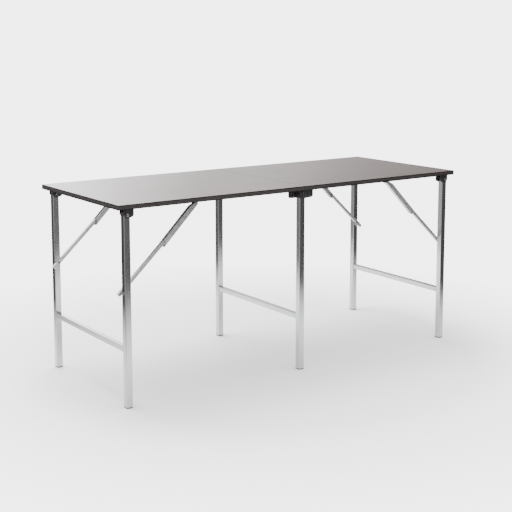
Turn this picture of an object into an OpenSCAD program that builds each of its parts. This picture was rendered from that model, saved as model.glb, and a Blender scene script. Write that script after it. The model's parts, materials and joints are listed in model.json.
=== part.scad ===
// Folding table: two hinged top halves on three square-tube leg frames.
// +X runs along the table, +Y runs from the front edge to the rear edge, +Z is up.
// The origin is on the floor under the middle of the table.

/* [Top] */
// Length of the open table
table_l = 2000; // [1900:10:2100]
// Depth of the table from front edge to rear edge
table_w = 780; // [720:10:840]
// Height of the top surface above the floor
table_h = 910; // [880:5:940]
// Thickness of the boards and their edge strips
top_t = 22; // [20:1:24]
// Thickness of the edge strips
strip_t = 2; // [1:0.5:3]
// Gap between the two top halves
seam_gap = 1; // [0.6:0.2:2]

/* [Legs] */
// Side of the square leg tube
tube_w = 30; // [28:0.5:31]
// Wall thickness of the leg tube
tube_wall = 1.5; // [1.2:0.1:2]
// Outer corner radius of the leg tube
tube_r = 2.5; // [2:0.5:3]
// Distance from the table's end to the centre of the end legs
end_inset = 50; // [45:1:60]
// Distance from the front or rear edge to the centre of the legs
side_inset = 33; // [32:1:36]
// Side of the square crossbar tube
crossbar_w = 25; // [20:1:28]
// Height of the lower crossbar's centre above the floor
crossbar_z = 263; // [220:1:320]
// Height of the foot plug that shows below the tube
foot_t = 5; // [3:0.5:6]

/* [Hinges] */
// Depth of the leg pivots below the boards
pivot_depth = 26; // [25:0.5:28]
// Distance from the middle of the table to each top half's hinge pin
fold_pin_x = 36; // [34:1:40]
// Thickness of the hinge plates and brackets
plate_t = 3; // [2.5:0.5:3]
// Radius of the leg pivot bolts
bolt_r = 4; // [3.5:0.5:4]

/* [Braces] */
// Distance along the top from the leg pivot to the brace anchor pin
brace_run = 372; // [366:1:380]
// Distance down the leg from the leg pivot to the brace's lower bolt
brace_drop = 332; // [326:1:336]
// Depth of the brace anchor pin below the boards
anchor_depth = 14.5; // [14:0.5:16]
// Distance between the two pins of the upper brace
upper_l = 233; // [228:1:236]
// Depth of the upper brace channel, from its web to its open side
channel_d = 24; // [23:0.5:25]
// Width of the upper brace channel
channel_w = 20; // [19.5:0.5:20]
// Side of the square lower brace tube
link_w = 15; // [14:0.5:15]
// Length of the lower brace that stands out past its bolt
brace_tail = 37; // [30:1:38]

/* [Hidden] */
$fn = 48;
eps = 0.01;
half_l = table_l / 2;
half_w = table_w / 2;
under_z = table_h - top_t;
pivot_z = under_z - pivot_depth;
leg_x = half_l - end_inset;
leg_y = half_w - side_inset;
leg_out = leg_y + tube_w / 2;
leg_in = leg_y - tube_w / 2;
leg_clear = 0.5;
pin_clear = 0.06;
hole_clear = 0.2;
leg_top = 12;

// Cross-section of the braces. The anchor pin sits anchor_pin_h above the outside of
// the channel's web, and the knee pin lies pin_offset further towards the open side.
anchor_pin_h = 7;
pin_offset = 9.5;
brace_pin_r = 3;
channel_t = 2;
channel_end = 16;
channel_out = leg_in - leg_clear;
channel_in = channel_out - channel_w;
link_gap = (channel_w - 2 * channel_t - link_w) / 2;
link_in = channel_in + channel_t + link_gap;
link_out = link_in + link_w;

// With the legs down the two braces lie in one line from the anchor to the leg.
brace_down = pivot_depth + brace_drop - anchor_depth;
lower_l = sqrt(brace_run * brace_run + brace_down * brace_down) - upper_l;
pin_angle = atan2(brace_down, brace_run);
channel_angle = pin_angle + asin(pin_offset / upper_l);
knee_s = sqrt(upper_l * upper_l - pin_offset * pin_offset);
anchor_x = -leg_x + brace_run;
anchor_z = under_z - anchor_depth;
knee_x = anchor_x - upper_l * cos(pin_angle);
knee_z = anchor_z - upper_l * sin(pin_angle);
insert_z = pivot_z - brace_drop;

// ---- placing and basic shapes ----

// Shapes are drawn at the left front corner and mirrored to the other corners.
module corner(right, rear) {
    mirror([right, 0, 0]) mirror([0, rear, 0]) children();
}

module both_rows() {
    for (rear = [0, 1]) corner(0, rear) children();
}

// Extrudes an X-Z outline along Y, from y0 over a thickness t.
module slab_y(y0, t) {
    translate([0, y0 + t, 0]) rotate([90, 0, 0]) linear_extrude(t) children();
}

// A round bar along Y, centred on a point in X and Z.
module bar_y(x, z, y0, y1, r) {
    translate([x, y1, z]) rotate([90, 0, 0]) cylinder(h = y1 - y0, r = r);
}

// A hexagon nut or bolt head along Y.
module hex_y(x, z, y0, t, across) {
    translate([x, y0 + t, z]) rotate([90, 0, 0])
        cylinder(h = t, r = across / sqrt(3), $fn = 6);
}

module round_square(w, r) {
    square([w - 2 * r, w], center = true);
    square([w, w - 2 * r], center = true);
    for (i = [-1, 1], j = [-1, 1])
        translate([i * (w / 2 - r), j * (w / 2 - r)]) circle(r = r);
}

module tube_section(w) {
    difference() {
        round_square(w, tube_r);
        square(w - 2 * tube_wall, center = true);
    }
}

// ---- top halves ----

module board() {
    x0 = -half_l + strip_t;
    x1 = -seam_gap / 2 - strip_t;
    color("dimgray")
        translate([x0, -half_w + strip_t, under_z])
            cube([x1 - x0, table_w - 2 * strip_t, top_t]);
}

// Four strips round one board: two long ones, one at the end and one at the seam.
strip_joint = 0.1;
module edge_strips() {
    x1 = -seam_gap / 2;
    color([0.16, 0.14, 0.14]) {
        for (y = [-half_w, half_w - strip_t])
            translate([-half_l, y, under_z]) cube([half_l + x1, strip_t, top_t]);
        for (x = [-half_l, x1 - strip_t])
            translate([x, -half_w + strip_t + strip_joint, under_z])
                cube([strip_t, table_w - 2 * (strip_t + strip_joint), top_t]);
    }
}

// Side outline of a leg bracket's cheek, relative to the leg pivot.
bracket_back = 18;
bracket_front = 32;
module cheek_outline() {
    difference() {
        union() {
            translate([-bracket_back, 0])
                square([bracket_back + bracket_front, pivot_depth]);
            polygon([[-bracket_back, 0], [-10, -9], [-5, -14], [5, -14],
                     [bracket_front - 6, -9], [bracket_front, -3], [bracket_front, 0]]);
        }
        circle(r = bolt_r + hole_clear);
    }
}

cheek_out_y = -leg_out - leg_clear - plate_t;
cheek_in_y = -leg_in + leg_clear;
module leg_bracket() {
    color([0.1, 0.1, 0.1])
        translate([-leg_x, 0, pivot_z]) {
            slab_y(cheek_out_y, plate_t) cheek_outline();
            slab_y(cheek_in_y, plate_t) cheek_outline();
            difference() {
                translate([-bracket_back, cheek_out_y, pivot_depth - plate_t])
                    cube([bracket_back + bracket_front,
                          cheek_in_y + plate_t - cheek_out_y, plate_t]);
                for (y = leg_screw_y) translate([leg_screw_x, y, 0])
                    cylinder(h = pivot_depth + 1, r = screw_r + hole_clear);
            }
        }
}

// L-shaped leaf that carries one top half on the middle frame's pin. Its upright
// stands beside the hinge plate and its foot is screwed under the board.
leaf_front = 28;
leaf_r = 13;
leaf_foot_w = 20;
leaf_gap = 0.3;
left_leaf_y = -leg_in - plate_t - leaf_gap;
right_leaf_y = -leg_out + leaf_gap;
module leaf_outline() {
    difference() {
        union() {
            circle(r = leaf_r);
            translate([-leaf_front, 0]) square([leaf_front + leaf_r, pivot_depth]);
            polygon([[-leaf_front, 0], [-leaf_front, -4], [-leaf_front + 5, -leaf_r + 2],
                     [0, -leaf_r], [0, 0]]);
        }
        circle(r = brace_pin_r + 1 + pin_clear);
    }
}

// upright_y is the lower Y of the upright and foot_y the lower Y of the foot.
module fold_leaf(upright_y, foot_y) {
    color([0.1, 0.1, 0.1])
        translate([-fold_pin_x, 0, pivot_z]) {
            slab_y(upright_y, plate_t) leaf_outline();
            difference() {
                translate([-leaf_front, foot_y, pivot_depth - plate_t])
                    cube([leaf_front + leaf_r, leaf_foot_w, plate_t]);
                for (x = leaf_screw_x) translate([x, foot_y + leaf_foot_w / 2, 0])
                    cylinder(h = pivot_depth + 1, r = screw_r + hole_clear);
            }
        }
}

module left_leaf() {
    fold_leaf(left_leaf_y, left_leaf_y + plate_t - leaf_foot_w);
}

// The right leaf is drawn on the left and mirrored with its half.
module right_leaf() {
    fold_leaf(right_leaf_y, right_leaf_y);
}

// Bracket under the board that carries the top pin of one brace.
anchor_back = 12;
anchor_front = 30;
anchor_foot_w = 22;
anchor_y = -channel_in + leaf_gap;
module brace_anchor() {
    color([0.1, 0.1, 0.1])
        translate([anchor_x, 0, anchor_z]) {
            slab_y(anchor_y, plate_t) difference() {
                union() {
                    circle(r = anchor_pin_h);
                    translate([-anchor_pin_h, 0])
                        square([2 * anchor_pin_h, anchor_depth]);
                    translate([-anchor_back, anchor_depth - plate_t])
                        square([anchor_back + anchor_front, plate_t]);
                    polygon([[0, -anchor_pin_h], [6, -4], [anchor_front, anchor_depth - 6],
                             [anchor_front, anchor_depth], [0, anchor_depth]]);
                }
                circle(r = brace_pin_r + hole_clear);
            }
            difference() {
                translate([-anchor_back, anchor_y, anchor_depth - plate_t])
                    cube([anchor_back + anchor_front, anchor_foot_w, plate_t]);
                for (x = anchor_screw_x)
                    translate([x, anchor_y + anchor_foot_w - 8, 0])
                        cylinder(h = anchor_depth + 1, r = screw_r + hole_clear);
            }
        }
}

bolt_head_r = 7.5;
bolt_head_t = 3;
washer_r = 8.5;
washer_t = 1;
bolt_nut_t = 5;
bolt_nut_across = 13;
module leg_pivot_bolt() {
    washer_y = cheek_out_y - washer_t;
    nut_y = cheek_in_y + plate_t;
    color("silver") {
        bar_y(-leg_x, pivot_z, washer_y, nut_y + bolt_nut_t + 1, bolt_r);
        bar_y(-leg_x, pivot_z, washer_y - bolt_head_t, washer_y + eps, bolt_head_r);
        bar_y(-leg_x, pivot_z, washer_y, cheek_out_y, washer_r);
        hex_y(-leg_x, pivot_z, nut_y, bolt_nut_t, bolt_nut_across);
    }
}

// Headed pin through the anchor and the channel, flush with the channel's outside.
pin_head_r = 5.5;
pin_head_t = 2.5;
module brace_anchor_pin() {
    head_y = anchor_y + plate_t;
    color("silver") {
        bar_y(anchor_x, anchor_z, -channel_out, head_y + 1, brace_pin_r);
        bar_y(anchor_x, anchor_z, head_y, head_y + pin_head_t, pin_head_r);
    }
}

screw_r = 2;
leg_screw_x = 23;
leg_screw_y = [-leg_y - 7, -leg_y + 7];
leaf_screw_x = [-22, 0];
anchor_screw_x = [-6, 22];

// Pan-head wood screw through a hole in a plate under the board. Only the part below
// the board is drawn, so the shank ends at the board's underside.
screw_head_r = 4.2;
screw_head_t = 2.2;
module wood_screw(x, y) {
    translate([x, y, under_z - plate_t]) {
        translate([0, 0, -screw_head_t]) cylinder(h = screw_head_t, r = screw_head_r);
        translate([0, 0, -0.2]) cylinder(h = plate_t + 0.2, r = screw_r);
    }
}

module underside_screws(right) {
    foot_y = right == 1 ? right_leaf_y : left_leaf_y + plate_t - leaf_foot_w;
    color("gainsboro") both_rows() {
        for (y = leg_screw_y) wood_screw(-leg_x + leg_screw_x, y);
        for (x = leaf_screw_x) wood_screw(-fold_pin_x + x, foot_y + leaf_foot_w / 2);
        for (x = anchor_screw_x) wood_screw(anchor_x + x, anchor_y + anchor_foot_w - 8);
    }
}

// ---- leg frames ----

// Straight leg tube. x is its centre, and holes lists the heights of its cross bores.
module leg_tube(x, top_z, bores, bore_r) {
    color("lightgray") difference() {
        translate([x, -leg_y, foot_t]) linear_extrude(top_z - foot_t)
            tube_section(tube_w);
        for (z = bores) bar_y(x, z, -leg_out - 1, -leg_in + 1, bore_r);
    }
}

insert_r = 4.5;
module end_leg() {
    difference() {
        leg_tube(-leg_x, pivot_z + leg_top, [pivot_z], bolt_r + pin_clear);
        bar_y(-leg_x, insert_z, -leg_y, -leg_in + 1, insert_r + 0.1);
    }
}

middle_bolt_z = [pivot_z, pivot_z + 15];
module middle_leg() {
    leg_tube(0, under_z - 2, middle_bolt_z, brace_pin_r + pin_clear);
}

module crossbar(x) {
    color("lightgray")
        translate([x, leg_in, crossbar_z]) rotate([90, 0, 0])
            linear_extrude(2 * leg_in) tube_section(crossbar_w);
}

// Plug in the foot of a tube: a shoulder that the leg stands on and a square stem.
module foot_plug(x) {
    stem_w = tube_w - 2 * tube_wall - 0.4;
    color([0.12, 0.12, 0.12]) both_rows() translate([x, -leg_y, 0]) {
        translate([0, 0, 1]) linear_extrude(foot_t - 1) round_square(tube_w, tube_r);
        linear_extrude(1 + eps) round_square(tube_w - 2, tube_r);
        translate([0, 0, foot_t - eps]) linear_extrude(16) square(stem_w, center = true);
    }
}

// Threaded insert in the leg's inner wall. The bolt of the lower brace screws into it.
insert_flange = 0.8;
module brace_insert() {
    color("gainsboro") difference() {
        union() {
            bar_y(-leg_x, insert_z, -leg_in - 11, -leg_in, insert_r);
            bar_y(-leg_x, insert_z, -leg_in, -leg_in + insert_flange, insert_r + 2);
        }
        bar_y(-leg_x, insert_z, -leg_in - 12, -leg_in + 1, brace_pin_r);
    }
}

// ---- middle frame's hinge plates ----

plate_back = 18;
plate_front = 51;
plate_top = 25;
module fold_plate_outline() {
    difference() {
        polygon([[-plate_back, plate_top], [-plate_back, -9], [-plate_back + 1.5, -12.5],
                 [-plate_back + 5, -14], [15, -14], [plate_front - 9, -11],
                 [plate_front - 3, -9], [plate_front, -4], [plate_front, plate_top - 7],
                 [fold_pin_x, plate_top]]);
        translate([fold_pin_x, 0]) circle(r = brace_pin_r + 1 + hole_clear);
        for (z = middle_bolt_z) translate([0, z - pivot_z]) circle(r = brace_pin_r + hole_clear);
    }
}

// The outer plate reaches to the right half and the inner plate to the left half.
// The outer plate is bent round the leg's left face.
module outer_plate() {
    color([0.12, 0.11, 0.11]) translate([0, 0, pivot_z]) {
        slab_y(-leg_out - plate_t, plate_t) fold_plate_outline();
        translate([-plate_back, -leg_out - eps, -9])
            cube([plate_back - tube_w / 2, tube_w, plate_top + 9]);
    }
}

module inner_plate() {
    color([0.12, 0.11, 0.11]) translate([0, 0, pivot_z]) mirror([1, 0, 0])
        slab_y(-leg_in, plate_t) fold_plate_outline();
}

plate_head_r = 5;
plate_head_t = 2.5;
plate_nut_t = 4;
plate_nut_across = 10;
module middle_plate_bolts() {
    head_y = -leg_out - plate_t;
    nut_y = -leg_in + plate_t;
    color("silver") both_rows() for (z = middle_bolt_z) {
        bar_y(0, z, head_y - 1, nut_y + plate_nut_t + 1, brace_pin_r);
        bar_y(0, z, head_y - plate_head_t, head_y, plate_head_r);
        hex_y(0, z, nut_y, plate_nut_t, plate_nut_across);
    }
}

// Each fold pin has a head on its hinge plate and a collar behind its leaf.
fold_pin_r = brace_pin_r + 1;
fold_head_r = 7;
fold_head_t = 2;
collar_r = 6.5;
collar_end = 2.5;
module middle_fold_pins() {
    color([0.2, 0.2, 0.2]) both_rows() {
        bar_y(fold_pin_x, pivot_z, -leg_out - plate_t - 1, -leg_out + plate_t + 2, fold_pin_r);
        bar_y(fold_pin_x, pivot_z, -leg_out - plate_t - fold_head_t, -leg_out - plate_t,
              fold_head_r);
        bar_y(fold_pin_x, pivot_z, -leg_out + plate_t + 2 * leaf_gap,
              -leg_out + plate_t + collar_end, collar_r);
        bar_y(-fold_pin_x, pivot_z, -leg_in - plate_t - 2, -leg_in + plate_t + 1, fold_pin_r);
        bar_y(-fold_pin_x, pivot_z, -leg_in + plate_t, -leg_in + plate_t + fold_head_t,
              fold_head_r);
        bar_y(-fold_pin_x, pivot_z, -leg_in - plate_t - collar_end,
              -leg_in - plate_t - 2 * leaf_gap, collar_r);
    }
}

// ---- braces ----

// Moves to the brace's own frame: origin on the anchor pin, +X along the channel
// towards the knee, +Z towards the open side.
module channel_frame() {
    translate([anchor_x, 0, anchor_z]) rotate([0, -(180 + channel_angle), 0])
        mirror([0, 0, 1]) children();
}

nose_r = anchor_pin_h;
taper_l = 30;
stop_s = knee_s + 10;
stop_h = pin_offset - link_w / 2 - brace_pin_r + 0.1;
module channel_outline() {
    web = -anchor_pin_h;
    open_side = channel_d - anchor_pin_h;
    circle(r = nose_r);
    polygon([[0, web], [knee_s + channel_end, web], [knee_s + channel_end, open_side - 3],
             [knee_s + channel_end - 3, open_side], [taper_l, open_side], [0, nose_r]]);
}

module channel_cavity() {
    web = -anchor_pin_h;
    translate([-nose_r - 1, web + channel_t])
        square([knee_s + channel_end + nose_r + 2, channel_d]);
}

module upper_brace() {
    color("lightgray") channel_frame() difference() {
        slab_y(-channel_out, channel_w) channel_outline();
        slab_y(-channel_out + channel_t, channel_w - 2 * channel_t) channel_cavity();
        translate([-nose_r - 1, -channel_out - 1, -channel_d])
            cube([nose_r + 4, channel_w + 2, channel_d - nose_r + 0.5]);
        bar_y(0, 0, -channel_out - 1, -channel_in + 1, brace_pin_r + pin_clear);
        bar_y(knee_s, pin_offset, -channel_out - 1, -channel_in + 1, brace_pin_r + hole_clear);
        bar_y(stop_s, stop_h, -channel_out - 1, -channel_in + 1, brace_pin_r + hole_clear);
    }
}

// The knee rivet that the lower link turns on, and the stop rivet behind the link.
knee_head_r = 5.5;
stop_head_r = 5;
rivet_head_t = 2;
module knee_rivets() {
    head_y = -channel_in;
    color("silver") channel_frame() {
        bar_y(knee_s, pin_offset, -channel_out, head_y + 1, brace_pin_r);
        bar_y(knee_s, pin_offset, head_y, head_y + rivet_head_t, knee_head_r);
        bar_y(stop_s, stop_h, -channel_out, head_y + 1, brace_pin_r);
        bar_y(stop_s, stop_h, head_y, head_y + rivet_head_t, stop_head_r);
    }
}

// Moves to the lower link's frame: origin on the knee rivet, +X towards the leg.
module link_frame() {
    translate([knee_x, 0, knee_z]) rotate([0, -(180 + pin_angle), 0])
        mirror([0, 0, 1]) children();
}

link_wall = 1.5;
module lower_brace() {
    end_s = lower_l + brace_tail;
    color("lightgray") link_frame() difference() {
        slab_y(-link_out, link_w) {
            circle(d = link_w);
            translate([0, -link_w / 2]) square([end_s, link_w]);
        }
        slab_y(-link_out + link_wall, link_w - 2 * link_wall) {
            circle(d = link_w - 2 * link_wall);
            translate([0, -link_w / 2 + link_wall])
                square([end_s + 1, link_w - 2 * link_wall]);
        }
        bar_y(0, 0, -link_out - 1, -link_in + 1, brace_pin_r + pin_clear);
        bar_y(lower_l, 0, -link_out - 1, -link_in + 1, brace_pin_r + hole_clear);
    }
}

// Bolt at the foot of the brace, with the spacer that stands beside the leg.
spacer_out = -leg_in + insert_flange + leaf_gap;
spacer_r = 6.5;
lower_head_r = 6;
lower_head_t = 3;
module lower_bolt() {
    head_y = -link_in;
    color("silver") link_frame() {
        bar_y(lower_l, 0, spacer_out, head_y + 1, brace_pin_r);
        bar_y(lower_l, 0, head_y, head_y + lower_head_t, lower_head_r);
        bar_y(lower_l, 0, spacer_out, -link_out, spacer_r);
    }
}

// ---- one call per node ----

board();  // left_board
edge_strips();  // left_edge_strips
corner(0, 0) leg_bracket();  // left_front_leg_bracket
corner(0, 1) leg_bracket();  // left_rear_leg_bracket
corner(0, 0) left_leaf();  // left_front_fold_leaf
corner(0, 1) left_leaf();  // left_rear_fold_leaf
corner(0, 0) brace_anchor();  // left_front_brace_anchor
corner(0, 1) brace_anchor();  // left_rear_brace_anchor
both_rows() leg_pivot_bolt();  // left_leg_pivot_bolts
both_rows() brace_anchor_pin();  // left_brace_anchor_pins
underside_screws(0);  // left_underside_screws

corner(1, 0) board();  // right_board
corner(1, 0) edge_strips();  // right_edge_strips
corner(1, 0) leg_bracket();  // right_front_leg_bracket
corner(1, 1) leg_bracket();  // right_rear_leg_bracket
corner(1, 0) right_leaf();  // right_front_fold_leaf
corner(1, 1) right_leaf();  // right_rear_fold_leaf
corner(1, 0) brace_anchor();  // right_front_brace_anchor
corner(1, 1) brace_anchor();  // right_rear_brace_anchor
corner(1, 0) both_rows() leg_pivot_bolt();  // right_leg_pivot_bolts
corner(1, 0) both_rows() brace_anchor_pin();  // right_brace_anchor_pins
corner(1, 0) underside_screws(1);  // right_underside_screws

corner(0, 0) end_leg();  // left_front_leg
corner(0, 1) end_leg();  // left_rear_leg
crossbar(-leg_x);  // left_crossbar
foot_plug(-leg_x);  // left_foot_plugs
both_rows() brace_insert();  // left_brace_inserts
corner(1, 0) end_leg();  // right_front_leg
corner(1, 1) end_leg();  // right_rear_leg
crossbar(leg_x);  // right_crossbar
foot_plug(leg_x);  // right_foot_plugs
corner(1, 0) both_rows() brace_insert();  // right_brace_inserts

corner(0, 0) middle_leg();  // middle_front_leg
corner(0, 1) middle_leg();  // middle_rear_leg
crossbar(0);  // middle_crossbar
foot_plug(0);  // middle_foot_plugs
corner(0, 0) outer_plate();  // middle_front_outer_plate
corner(0, 0) inner_plate();  // middle_front_inner_plate
corner(0, 1) outer_plate();  // middle_rear_outer_plate
corner(0, 1) inner_plate();  // middle_rear_inner_plate
middle_plate_bolts();
middle_fold_pins();

corner(0, 0) upper_brace();  // left_front_upper_brace
corner(0, 0) knee_rivets();  // left_front_knee_rivets
corner(0, 0) lower_brace();  // left_front_lower_brace
corner(0, 0) lower_bolt();  // left_front_lower_bolt
corner(0, 1) upper_brace();  // left_rear_upper_brace
corner(0, 1) knee_rivets();  // left_rear_knee_rivets
corner(0, 1) lower_brace();  // left_rear_lower_brace
corner(0, 1) lower_bolt();  // left_rear_lower_bolt

corner(1, 0) upper_brace();  // right_front_upper_brace
corner(1, 0) knee_rivets();  // right_front_knee_rivets
corner(1, 0) lower_brace();  // right_front_lower_brace
corner(1, 0) lower_bolt();  // right_front_lower_bolt
corner(1, 1) upper_brace();  // right_rear_upper_brace
corner(1, 1) knee_rivets();  // right_rear_knee_rivets
corner(1, 1) lower_brace();  // right_rear_lower_brace
corner(1, 1) lower_bolt();  // right_rear_lower_bolt
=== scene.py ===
import json
import math
import bmesh
import bpy
from mathutils import Matrix, Vector, noise


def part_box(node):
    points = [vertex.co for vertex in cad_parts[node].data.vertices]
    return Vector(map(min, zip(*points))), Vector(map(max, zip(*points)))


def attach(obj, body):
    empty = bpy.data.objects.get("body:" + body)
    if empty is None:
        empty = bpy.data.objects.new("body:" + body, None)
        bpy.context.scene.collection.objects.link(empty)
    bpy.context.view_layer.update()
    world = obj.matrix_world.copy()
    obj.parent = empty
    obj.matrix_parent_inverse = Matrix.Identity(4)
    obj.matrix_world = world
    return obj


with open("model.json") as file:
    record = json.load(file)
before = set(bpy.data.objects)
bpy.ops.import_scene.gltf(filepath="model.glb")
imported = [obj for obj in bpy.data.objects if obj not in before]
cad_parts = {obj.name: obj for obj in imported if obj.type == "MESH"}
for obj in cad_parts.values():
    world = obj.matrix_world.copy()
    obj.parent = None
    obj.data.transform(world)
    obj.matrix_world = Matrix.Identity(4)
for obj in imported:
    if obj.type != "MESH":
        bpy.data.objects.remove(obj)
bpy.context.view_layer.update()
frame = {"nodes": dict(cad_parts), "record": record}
nodes = frame["nodes"]


# ---- materials ----

def new_material(name, color, metallic, roughness):
    mat = bpy.data.materials.new(name)
    mat.use_nodes = True
    shader = mat.node_tree.nodes["Principled BSDF"]
    shader.inputs["Base Color"].default_value = (*color, 1)
    shader.inputs["Metallic"].default_value = metallic
    shader.inputs["Roughness"].default_value = roughness
    return mat, shader


def fill_ramp(node, stops):
    """Sets a colour ramp's (position, colour) stops; a colour may be one grey level."""
    points = node.color_ramp.elements
    for at, _ in stops[1:-1]:
        points.new(at)
    points[0].position = stops[0][0]
    points[len(points) - 1].position = stops[-1][0]
    for point, (_, color) in zip(points, stops):
        rgb = color if len(color) == 3 else color * 3
        point.color = (*rgb, 1)


class Nodes:
    """Adds texture nodes to one material, in object coordinates."""

    def __init__(self, mat):
        self.tree = mat.node_tree
        self.coord = self.tree.nodes.new("ShaderNodeTexCoord").outputs["Object"]

    def link(self, a, b):
        self.tree.links.new(a, b)

    def noise(self, scale, detail=3.0, stretch=(1, 1, 1)):
        mapping = self.tree.nodes.new("ShaderNodeMapping")
        mapping.inputs["Scale"].default_value = stretch
        self.link(self.coord, mapping.inputs["Vector"])
        tex = self.tree.nodes.new("ShaderNodeTexNoise")
        tex.inputs["Scale"].default_value = scale
        tex.inputs["Detail"].default_value = detail
        self.link(mapping.outputs["Vector"], tex.inputs["Vector"])
        return tex.outputs["Fac"]

    def cells(self, scale):
        tex = self.tree.nodes.new("ShaderNodeTexVoronoi")
        tex.inputs["Scale"].default_value = scale
        self.link(self.coord, tex.inputs["Vector"])
        gray = self.tree.nodes.new("ShaderNodeRGBToBW")
        self.link(tex.outputs["Color"], gray.inputs["Color"])
        return gray.outputs["Val"]

    def ramp(self, value, stops):
        node = self.tree.nodes.new("ShaderNodeValToRGB")
        fill_ramp(node, stops)
        self.link(value, node.inputs["Fac"])
        return node.outputs["Color"]

    def spread(self, value, low, high, start=0.3, end=0.7):
        node = self.tree.nodes.new("ShaderNodeMapRange")
        node.inputs["From Min"].default_value = start
        node.inputs["From Max"].default_value = end
        node.inputs["To Min"].default_value = low
        node.inputs["To Max"].default_value = high
        self.link(value, node.inputs["Value"])
        return node.outputs["Result"]

    def height(self):
        split = self.tree.nodes.new("ShaderNodeSeparateXYZ")
        self.link(self.coord, split.inputs["Vector"])
        return split.outputs["Z"]

    def bump(self, shader, value, strength, distance):
        node = self.tree.nodes.new("ShaderNodeBump")
        node.inputs["Strength"].default_value = strength
        node.inputs["Distance"].default_value = distance
        self.link(value, node.inputs["Height"])
        self.link(node.outputs["Normal"], shader.inputs["Normal"])


def film_board():
    """Phenolic film on plywood: dark red-brown, glossy, with faint cloudy patches."""
    mat, shader = new_material("film_board", (0.07, 0.04, 0.035), 0.0, 0.2)
    tex = Nodes(mat)
    cloud = tex.noise(2.0, 4, (1, 1.6, 1))
    tex.link(tex.ramp(cloud, [(0.3, (0.046, 0.029, 0.025)), (0.7, (0.062, 0.04, 0.034))]),
             shader.inputs["Base Color"])
    wipe = tex.noise(7, 6, (1, 2.5, 1))
    tex.link(tex.spread(wipe, 0.18, 0.22), shader.inputs["Roughness"])
    tex.bump(shader, tex.noise(650, 2), 0.05, 0.0002)
    shader.inputs["Specular IOR Level"].default_value = 0.5
    return mat


def edge_strip():
    """Moulded edge: two dark borders with a paler bead between them; the bead's paler colour
    is a painted highlight.
    """
    mat, shader = new_material("edge_strip", (0.05, 0.04, 0.04), 0.0, 0.35)
    tex = Nodes(mat)
    low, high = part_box("left_edge_strips")
    band = tex.spread(tex.height(), 0, 1, low.z, high.z)
    # The paler colour on the bead is a painted highlight; the bead's raised shape comes from
    # the bump below.
    dark, pale = (0.012, 0.0085, 0.009), (0.034, 0.026, 0.026)
    tex.link(tex.ramp(band, [(0.0, dark), (0.22, dark), (0.3, pale), (0.68, pale),
                             (0.76, dark), (1.0, dark)]), shader.inputs["Base Color"])
    profile = tex.ramp(band, [(0.0, (0.6,)), (0.2, (0.6,)), (0.26, (0.0,)), (0.36, (1.0,)),
                              (0.62, (1.0,)), (0.72, (0.0,)), (0.78, (0.6,)), (1.0, (0.6,))])
    tex.bump(shader, profile, 0.6, 0.001)
    tex.link(tex.spread(tex.noise(30, 4, (0.3, 1, 1)), 0.28, 0.42), shader.inputs["Roughness"])
    return mat


def galvanised():
    """Zinc-coated tube of the leg frames: cool grey spangle with streaks along the legs."""
    mat, shader = new_material("galvanised", (0.5, 0.51, 0.52), 1.0, 0.18)
    tex = Nodes(mat)
    spangle = tex.cells(150)
    tex.link(tex.ramp(spangle, [(0.1, (0.47, 0.48, 0.49)), (0.9, (0.51, 0.52, 0.53))]),
             shader.inputs["Base Color"])
    streak = tex.noise(60, 3, (2, 2, 0.1))
    tex.link(tex.spread(streak, 0.11, 0.17), shader.inputs["Roughness"])
    tex.bump(shader, streak, 0.02, 0.0002)
    return mat


def pressed_zinc():
    """Zinc-plated pressed steel of the braces: duller than the tubes and slightly cloudy."""
    mat, shader = new_material("pressed_zinc", (0.55, 0.56, 0.56), 0.8, 0.36)
    tex = Nodes(mat)
    cloud = tex.noise(35, 4)
    tex.link(tex.ramp(cloud, [(0.3, (0.5, 0.51, 0.51)), (0.7, (0.58, 0.59, 0.59))]),
             shader.inputs["Base Color"])
    tex.link(tex.spread(cloud, 0.3, 0.42), shader.inputs["Roughness"])
    tex.bump(shader, tex.noise(500, 2), 0.04, 0.0002)
    return mat


def black_steel():
    mat, shader = new_material("black_steel", (0.03, 0.027, 0.026), 0.15, 0.42)
    tex = Nodes(mat)
    worn = tex.noise(90, 6)
    tex.link(tex.ramp(worn, [(0.25, (0.018, 0.016, 0.016)), (0.65, (0.034, 0.03, 0.028)),
                             (0.8, (0.075, 0.065, 0.06))]), shader.inputs["Base Color"])
    tex.link(tex.spread(worn, 0.34, 0.55), shader.inputs["Roughness"])
    tex.bump(shader, tex.noise(900, 2), 0.15, 0.0003)
    return mat


def zinc(name, dark, pale):
    """Plated fastener metal whose grey varies in fine spots from dark to pale."""
    mat, shader = new_material(name, (pale, pale, pale), 1.0, 0.4)
    tex = Nodes(mat)
    spots = tex.noise(260, 4)
    tex.link(tex.ramp(spots, [(0.3, (dark,)), (0.7, (pale,))]),
             shader.inputs["Base Color"])
    tex.link(tex.spread(spots, 0.3, 0.45), shader.inputs["Roughness"])
    return mat


def foot_plastic():
    mat, shader = new_material("foot_plastic", (0.02, 0.02, 0.021), 0.0, 0.5)
    tex = Nodes(mat)
    grain = tex.noise(700, 3)
    tex.link(tex.ramp(grain, [(0.3, (0.014, 0.014, 0.015)), (0.7, (0.03, 0.03, 0.031))]),
             shader.inputs["Base Color"])
    tex.link(tex.spread(tex.noise(80, 4), 0.42, 0.62), shader.inputs["Roughness"])
    tex.bump(shader, grain, 0.25, 0.0002)
    return mat


def weld_metal():
    mat, shader = new_material("weld_metal", (0.45, 0.45, 0.46), 0.85, 0.45)
    tex = Nodes(mat)
    heat = tex.noise(120, 4)
    tex.link(tex.ramp(heat, [(0.3, (0.3, 0.29, 0.28)), (0.7, (0.6, 0.6, 0.61))]),
             shader.inputs["Base Color"])
    tex.bump(shader, heat, 0.4, 0.0008)
    return mat


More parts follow.
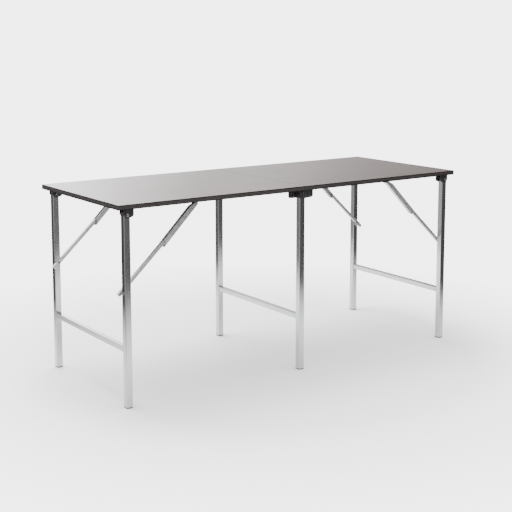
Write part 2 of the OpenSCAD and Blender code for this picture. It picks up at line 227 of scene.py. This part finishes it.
MATERIALS = {
    "film_faced_board": film_board(),
    "edge_strip": edge_strip(),
    "galvanised_tube": galvanised(),
    "black_steel": black_steel(),
    "zinc_fasteners": zinc("plated_zinc", 0.15, 0.26),
    "foot_plastic": foot_plastic(),
}
PRESSED = pressed_zinc()
# A darker copy of the plated zinc: painted shade for the middle plate bolts, which sit in
# shade under the top.
SHADED_ZINC = zinc("shaded_zinc", 0.07, 0.13)
WELD = weld_metal()

# Rounding of the edges of the CAD solids, in metres
BEVELS = {
    "film_faced_board": 0.0003,
    "edge_strip": 0.0008,
    "black_steel": 0.0005,
    "foot_plastic": 0.0012,
    "zinc_fasteners": 0.0004,
}

for part in frame["record"]["subparts"]:
    obj = nodes[part["node"]]
    slot = part["material_slot"]
    material = MATERIALS[slot]
    if part["node"].endswith(("upper_brace", "lower_brace")):
        material = PRESSED
    # The middle plate bolts take the darker zinc copy, which paints shade.
    elif part["node"] == "middle_plate_bolts":
        material = SHADED_ZINC
    for material_slot in obj.material_slots:
        material_slot.material = material
    if slot in BEVELS:
        bevel = obj.modifiers.new("edges", "BEVEL")
        bevel.width = BEVELS[slot]
        bevel.segments = 2
        bevel.limit_method = "ANGLE"
        bevel.angle_limit = math.radians(50)
        bevel.harden_normals = True


# ---- added pieces ----

# A weld bead's radius, and how far its ring lies inside the crossbar's end, in metres
WELD_RADIUS = 0.0013
WELD_INSET = 0.0006
# A bead's unevenness: even ripples and random lumps, each as a part of its radius
RIPPLE, RIPPLE_TURN = 0.22, 1.9
LUMPS, LUMP_SCALE = 0.15, 400
# Domed caps and heads, each as (radius, height) in metres
PIVOT_BOLT_CAP = (0.0066, 0.0024)
PLATE_BOLT_CAP = (0.0044, 0.0014)
FOLD_PIN_HEAD = (0.0062, 0.0016)
# The pivot bolt's drive recess, as a part of its cap's radius
RECESS = 0.4
# A dome's upright rim, as a part of its height
RIM = 0.3
# How far a dome sinks into the solid under it
SINK = 0.0001
# The CAD heads that reach to the edge of their node's box, in metres
PLATE_BOLT_RADIUS = 0.005
FOLD_PIN_RADIUS = 0.007


def add_piece(name, mesh, body, slot, material=None):
    """Makes a smooth piece from a bmesh, which rides on body."""
    data = bpy.data.meshes.new(name)
    mesh.to_mesh(data)
    mesh.free()
    for face in data.polygons:
        face.use_smooth = True
    data.materials.append(material or MATERIALS[slot])
    piece = bpy.data.objects.new(name, data)
    bpy.context.collection.objects.link(piece)
    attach(piece, body)


def lathe(mesh, center, axis, profile, count=32):
    """Turns (radius, height) points about an axis through center."""
    turn = Vector(axis).to_track_quat("Z", "Y").to_matrix().to_4x4()
    place = Matrix.Translation(center) @ turn
    rings = []
    for radius, height in profile:
        if radius == 0:
            rings.append([mesh.verts.new(place @ Vector((0, 0, height)))])
            continue
        ring = []
        for i in range(count):
            angle = 2 * math.pi * i / count
            ring.append(mesh.verts.new(place @ Vector((
                radius * math.cos(angle), radius * math.sin(angle), height))))
        rings.append(ring)
    for low, high in zip(rings, rings[1:]):
        for i in range(count):
            j = (i + 1) % count
            corners = [low[i % len(low)], low[j % len(low)],
                       high[j % len(high)], high[i % len(high)]]
            unique = list(dict.fromkeys(corners))
            if len(unique) > 2:
                mesh.faces.new(unique)


def dome(mesh, center, axis, radius, height, socket=0.0):
    """A low domed head with a rounded rim, and a round drive recess of socket x radius."""
    profile = [(radius * 0.9, 0), (radius, height * 0.12), (radius, height * RIM)]
    steps = 6
    for step in range(1, steps + 1):
        t = step / steps * (1 - socket * 0.6)
        profile.append((max(radius * math.cos(t * math.pi / 2), radius * socket),
                        height * (RIM + (1 - RIM) * math.sin(t * math.pi / 2))))
    if socket:
        profile += [(radius * socket, height * 0.35), (0, height * RIM)]
    else:
        profile.append((0, height))
    lathe(mesh, center, axis, profile)


def tube_path(mesh, points, radius, count=8):
    """A closed, slightly uneven bead of round section along points in an XZ plane."""
    total = len(points)
    up = Vector((0, 1, 0))
    rings = []
    for i, point in enumerate(points):
        ahead = (points[(i + 1) % total] - points[i - 1]).normalized()
        side = ahead.cross(up).normalized()
        wobble = radius * (1 + RIPPLE * math.sin(i * RIPPLE_TURN)
                           + LUMPS * noise.noise(point * LUMP_SCALE))
        rings.append([mesh.verts.new(point + wobble * (
            math.cos(2 * math.pi * k / count) * side
            + math.sin(2 * math.pi * k / count) * up)) for k in range(count)])
    for i in range(total):
        low, high = rings[i], rings[(i + 1) % total]
        for k in range(count):
            m = (k + 1) % count
            mesh.faces.new([low[k], low[m], high[m], high[k]])


def weld_ring(mesh, center, half, radius, steps=18):
    """A weld bead round a square tube that butts against a leg, drawn in at the corners."""
    points = []
    corners = [(-1, -1), (1, -1), (1, 1), (-1, 1)]
    for a, b in zip(corners, corners[1:] + corners[:1]):
        for i in range(steps):
            t = i / steps
            x = (a[0] * (1 - t) + b[0] * t) * half
            z = (a[1] * (1 - t) + b[1] * t) * half
            shrink = 1 - 0.08 * max(0.0, abs(x * z) / half ** 2 - 0.75)
            points.append(center + Vector((x * shrink, 0, z * shrink)))
    tube_path(mesh, points, radius)


# Weld beads where each crossbar meets its legs
for frame_name in ("left", "middle", "right"):
    body = "middle_frame" if frame_name == "middle" else frame_name + "_leg_frame"
    low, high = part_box(frame_name + "_crossbar")
    center = (low + high) / 2
    mesh = bmesh.new()
    for y in (low.y + WELD_INSET, high.y - WELD_INSET):
        weld_ring(mesh, Vector((center.x, y, center.z)), (high.z - low.z) / 2, WELD_RADIUS)
    add_piece(frame_name + "_crossbar_welds", mesh, body, "galvanised_tube", WELD)

# Domed caps over the leg pivot bolts' heads
for side in ("left", "right"):
    low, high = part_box(side + "_leg_pivot_bolts")
    x, z = (low.x + high.x) / 2, (low.z + high.z) / 2
    mesh = bmesh.new()
    for y, out in ((low.y, -1), (high.y, 1)):
        dome(mesh, Vector((x, y - out * SINK, z)), (0, out, 0), *PIVOT_BOLT_CAP, RECESS)
    add_piece(side + "_pivot_bolt_caps", mesh, side + "_top", "zinc_fasteners")

# Domed heads of the two bolts that hold the hinge plates to each middle leg
low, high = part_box("middle_plate_bolts")
mesh = bmesh.new()
for y, out in ((low.y, -1), (high.y, 1)):
    for z in (low.z + PLATE_BOLT_RADIUS, high.z - PLATE_BOLT_RADIUS):
        dome(mesh, Vector((0, y - out * SINK, z)), (0, out, 0), *PLATE_BOLT_CAP)
# Their caps take the darker zinc copy too, which paints shade.
add_piece("middle_plate_bolt_caps", mesh, "middle_frame", "zinc_fasteners", SHADED_ZINC)

# Domed heads of the right half's fold pins, the outer one of each row
mesh = bmesh.new()
low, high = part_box("middle_fold_pins")
x, z = high.x - FOLD_PIN_RADIUS, (low.z + high.z) / 2
for y, out in ((low.y, -1), (high.y, 1)):
    dome(mesh, Vector((x, y - out * SINK, z)), (0, out, 0), *FOLD_PIN_HEAD)
add_piece("fold_pin_heads", mesh, "middle_frame", "black_steel")


# ---- room, light and camera ----

FLOOR_RADIUS = 2.2
# Where the floor starts to fade out, as a part of its radius
FADE_START = 0.5
WORLD_STRENGTH = 2.7
# The studio's brightness round the horizon: (compass angle in degrees from +Y, level)
BELOW_HORIZON = [(-180, 0.15), (-75, 0.25), (-54, 0.4), (-44, 0.28), (-37, 0.1), (-28, 0.03),
                 (-10, 0.12), (14, 1.0), (56, 1.0), (80, 0.35), (115, 0.1), (135, 0.04),
                 (145, 0.05), (154, 0.09), (180, 0.15)]
ABOVE_HORIZON = [(-180, 0.3), (-130, 0.15), (-60, 0.15), (-20, 0.3), (12, 2.6), (25, 1.8),
                 (28, 1.05), (32, 0.52), (35.5, 0.5), (40, 0.25), (46, 0.06), (80, 0.12),
                 (180, 0.3)]
# Where the lower cards give way to the upper ones, and those to the ceiling: the height part
# of the view direction at each change's start and end
HORIZON = (0.03, 0.08)
CEILING = (0.3, 0.6)
# The ceiling's level, and that of the plain backdrop which only the camera sees
OVERHEAD = 1.1
BACKDROP = 1.8
# Numbers of a Mix node's two colour inputs and its colour output
MIX_A, MIX_B, MIX_RESULT = 6, 7, 2
# The camera's place in metres, and its turn from +Y and tilt down in degrees
CAMERA_PLACE = (-3.1035, -4.3716, 1.6428)
CAMERA_YAW = 35.287
CAMERA_PITCH = 7.901
# Focal length and sensor width in mm, and the vertical shift
CAMERA_LENS = 75.11
CAMERA_SENSOR = 36
CAMERA_SHIFT = -0.15


def make_floor():
    """A pale round floor whose edge fades out."""
    mesh = bmesh.new()
    bmesh.ops.create_circle(mesh, cap_ends=True, segments=96, radius=FLOOR_RADIUS)
    data = bpy.data.meshes.new("floor")
    mesh.to_mesh(data)
    mesh.free()
    floor = bpy.data.objects.new("floor", data)
    bpy.context.collection.objects.link(floor)
    mat, shader = new_material("floor_paint", (0.9, 0.9, 0.9), 0.0, 0.8)
    tex = Nodes(mat)
    length = tex.tree.nodes.new("ShaderNodeVectorMath")
    length.operation = "LENGTH"
    tex.link(tex.coord, length.inputs[0])
    fade = tex.spread(length.outputs["Value"], 1, 0, FADE_START * FLOOR_RADIUS, FLOOR_RADIUS)
    tex.link(fade, shader.inputs["Alpha"])
    data.materials.append(mat)


def make_world():
    """A plain pale backdrop, and the studio's bright and dark cards that the metal and the
    film mirror."""
    world = bpy.data.worlds.new("studio")
    bpy.context.scene.world = world
    world.use_nodes = True
    tree = world.node_tree
    back = tree.nodes["Background"]
    split = tree.nodes.new("ShaderNodeSeparateXYZ")
    direction = tree.nodes.new("ShaderNodeTexCoord").outputs["Generated"]
    tree.links.new(direction, split.inputs["Vector"])
    angle = tree.nodes.new("ShaderNodeMath")
    angle.operation = "ARCTAN2"
    tree.links.new(split.outputs["X"], angle.inputs[0])
    tree.links.new(split.outputs["Y"], angle.inputs[1])

    def spread(value, low, high):
        node = tree.nodes.new("ShaderNodeMapRange")
        node.inputs["From Min"].default_value = low
        node.inputs["From Max"].default_value = high
        tree.links.new(value, node.inputs["Value"])
        return node.outputs["Result"]

    turn = spread(angle.outputs["Value"], -math.pi, math.pi)

    def around(levels):
        node = tree.nodes.new("ShaderNodeValToRGB")
        fill_ramp(node, [((degrees + 180) / 360, (level,)) for degrees, level in levels])
        tree.links.new(turn, node.inputs["Fac"])
        return node.outputs["Color"]

    def mix(factor, first, second):
        node = tree.nodes.new("ShaderNodeMix")
        node.data_type = "RGBA"
        tree.links.new(factor, node.inputs["Factor"])
        tree.links.new(first, node.inputs[MIX_A])
        if isinstance(second, float):
            node.inputs[MIX_B].default_value = (second, second, second, 1)
        else:
            tree.links.new(second, node.inputs[MIX_B])
        return node.outputs[MIX_RESULT]

    walls = mix(spread(split.outputs["Z"], *HORIZON), around(BELOW_HORIZON),
                around(ABOVE_HORIZON))
    cards = mix(spread(split.outputs["Z"], *CEILING), walls, OVERHEAD)
    seen = tree.nodes.new("ShaderNodeLightPath").outputs["Is Camera Ray"]
    tree.links.new(mix(seen, cards, BACKDROP), back.inputs["Color"])
    back.inputs["Strength"].default_value = WORLD_STRENGTH


def area_light(name, place, target, size, power):
    data = bpy.data.lights.new(name, "AREA")
    data.shape = "DISK"
    data.size = size
    data.energy = power
    lamp = bpy.data.objects.new(name, data)
    bpy.context.collection.objects.link(lamp)
    lamp.location = place
    lamp.rotation_euler = (Vector(target) - Vector(place)).to_track_quat("-Z", "Y").to_euler()


def make_camera():
    data = bpy.data.cameras.new("camera")
    camera = bpy.data.objects.new("camera", data)
    bpy.context.collection.objects.link(camera)
    bpy.context.scene.camera = camera
    camera.location = CAMERA_PLACE
    yaw, pitch = math.radians(CAMERA_YAW), math.radians(CAMERA_PITCH)
    look = Vector((math.sin(yaw) * math.cos(pitch), math.cos(yaw) * math.cos(pitch),
                   -math.sin(pitch)))
    camera.rotation_euler = look.to_track_quat("-Z", "Y").to_euler()
    data.lens = CAMERA_LENS
    data.sensor_width = CAMERA_SENSOR
    data.shift_y = CAMERA_SHIFT


make_floor()
make_world()
area_light("key", place=(-0.6, 1.6, 4.8), target=(0, 0, 0.2), size=3.2, power=340)
area_light("front fill", place=(-2.0, -5.5, 4.5), target=(0, 0, 0.6), size=2.5, power=25)
make_camera()
